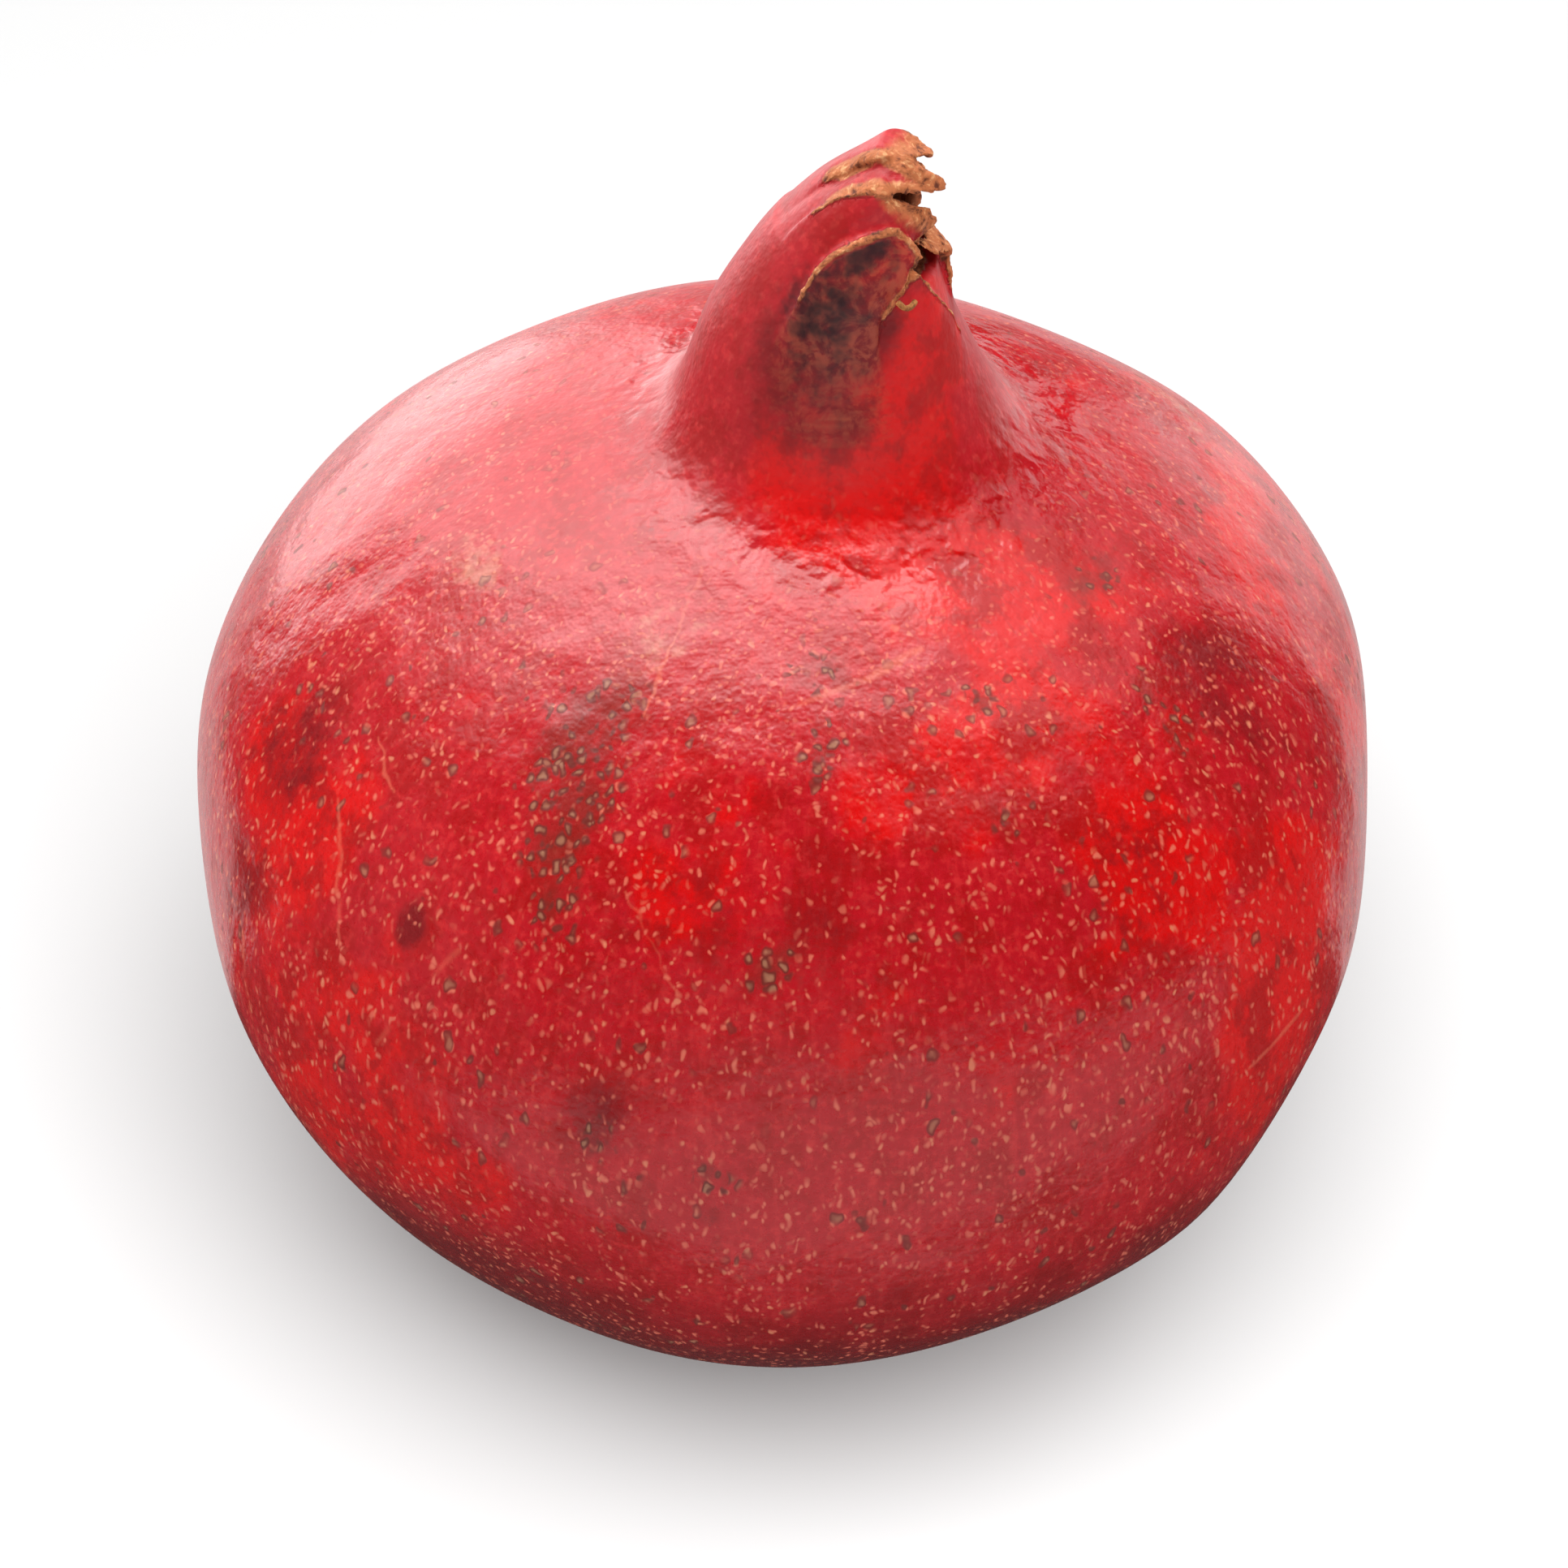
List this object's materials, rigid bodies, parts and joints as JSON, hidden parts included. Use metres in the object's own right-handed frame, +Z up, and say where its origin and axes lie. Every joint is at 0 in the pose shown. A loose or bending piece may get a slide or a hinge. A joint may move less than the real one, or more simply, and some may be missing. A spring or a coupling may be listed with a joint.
{
  "type": "pomegranate",
  "caption": "Whole ripe pomegranate standing on its stem end, with flattened red sides, a flared neck and a dried calyx crown that bends to one side.",
  "frame": {"origin": "middle of the small flat spot at the stem end that the fruit rests on", "axes": "+Z up, from the resting spot to the calyx crown; the crown bends towards +X; the pictured side faces -Y"},
  "size_m": [0.093, 0.0942, 0.0991],
  "materials": {
    "rind": "smooth, leathery and softly glossy"
  },
  "bodies": {
    "root": {"pomegranate": "rind"}
  },
  "joints": []
}
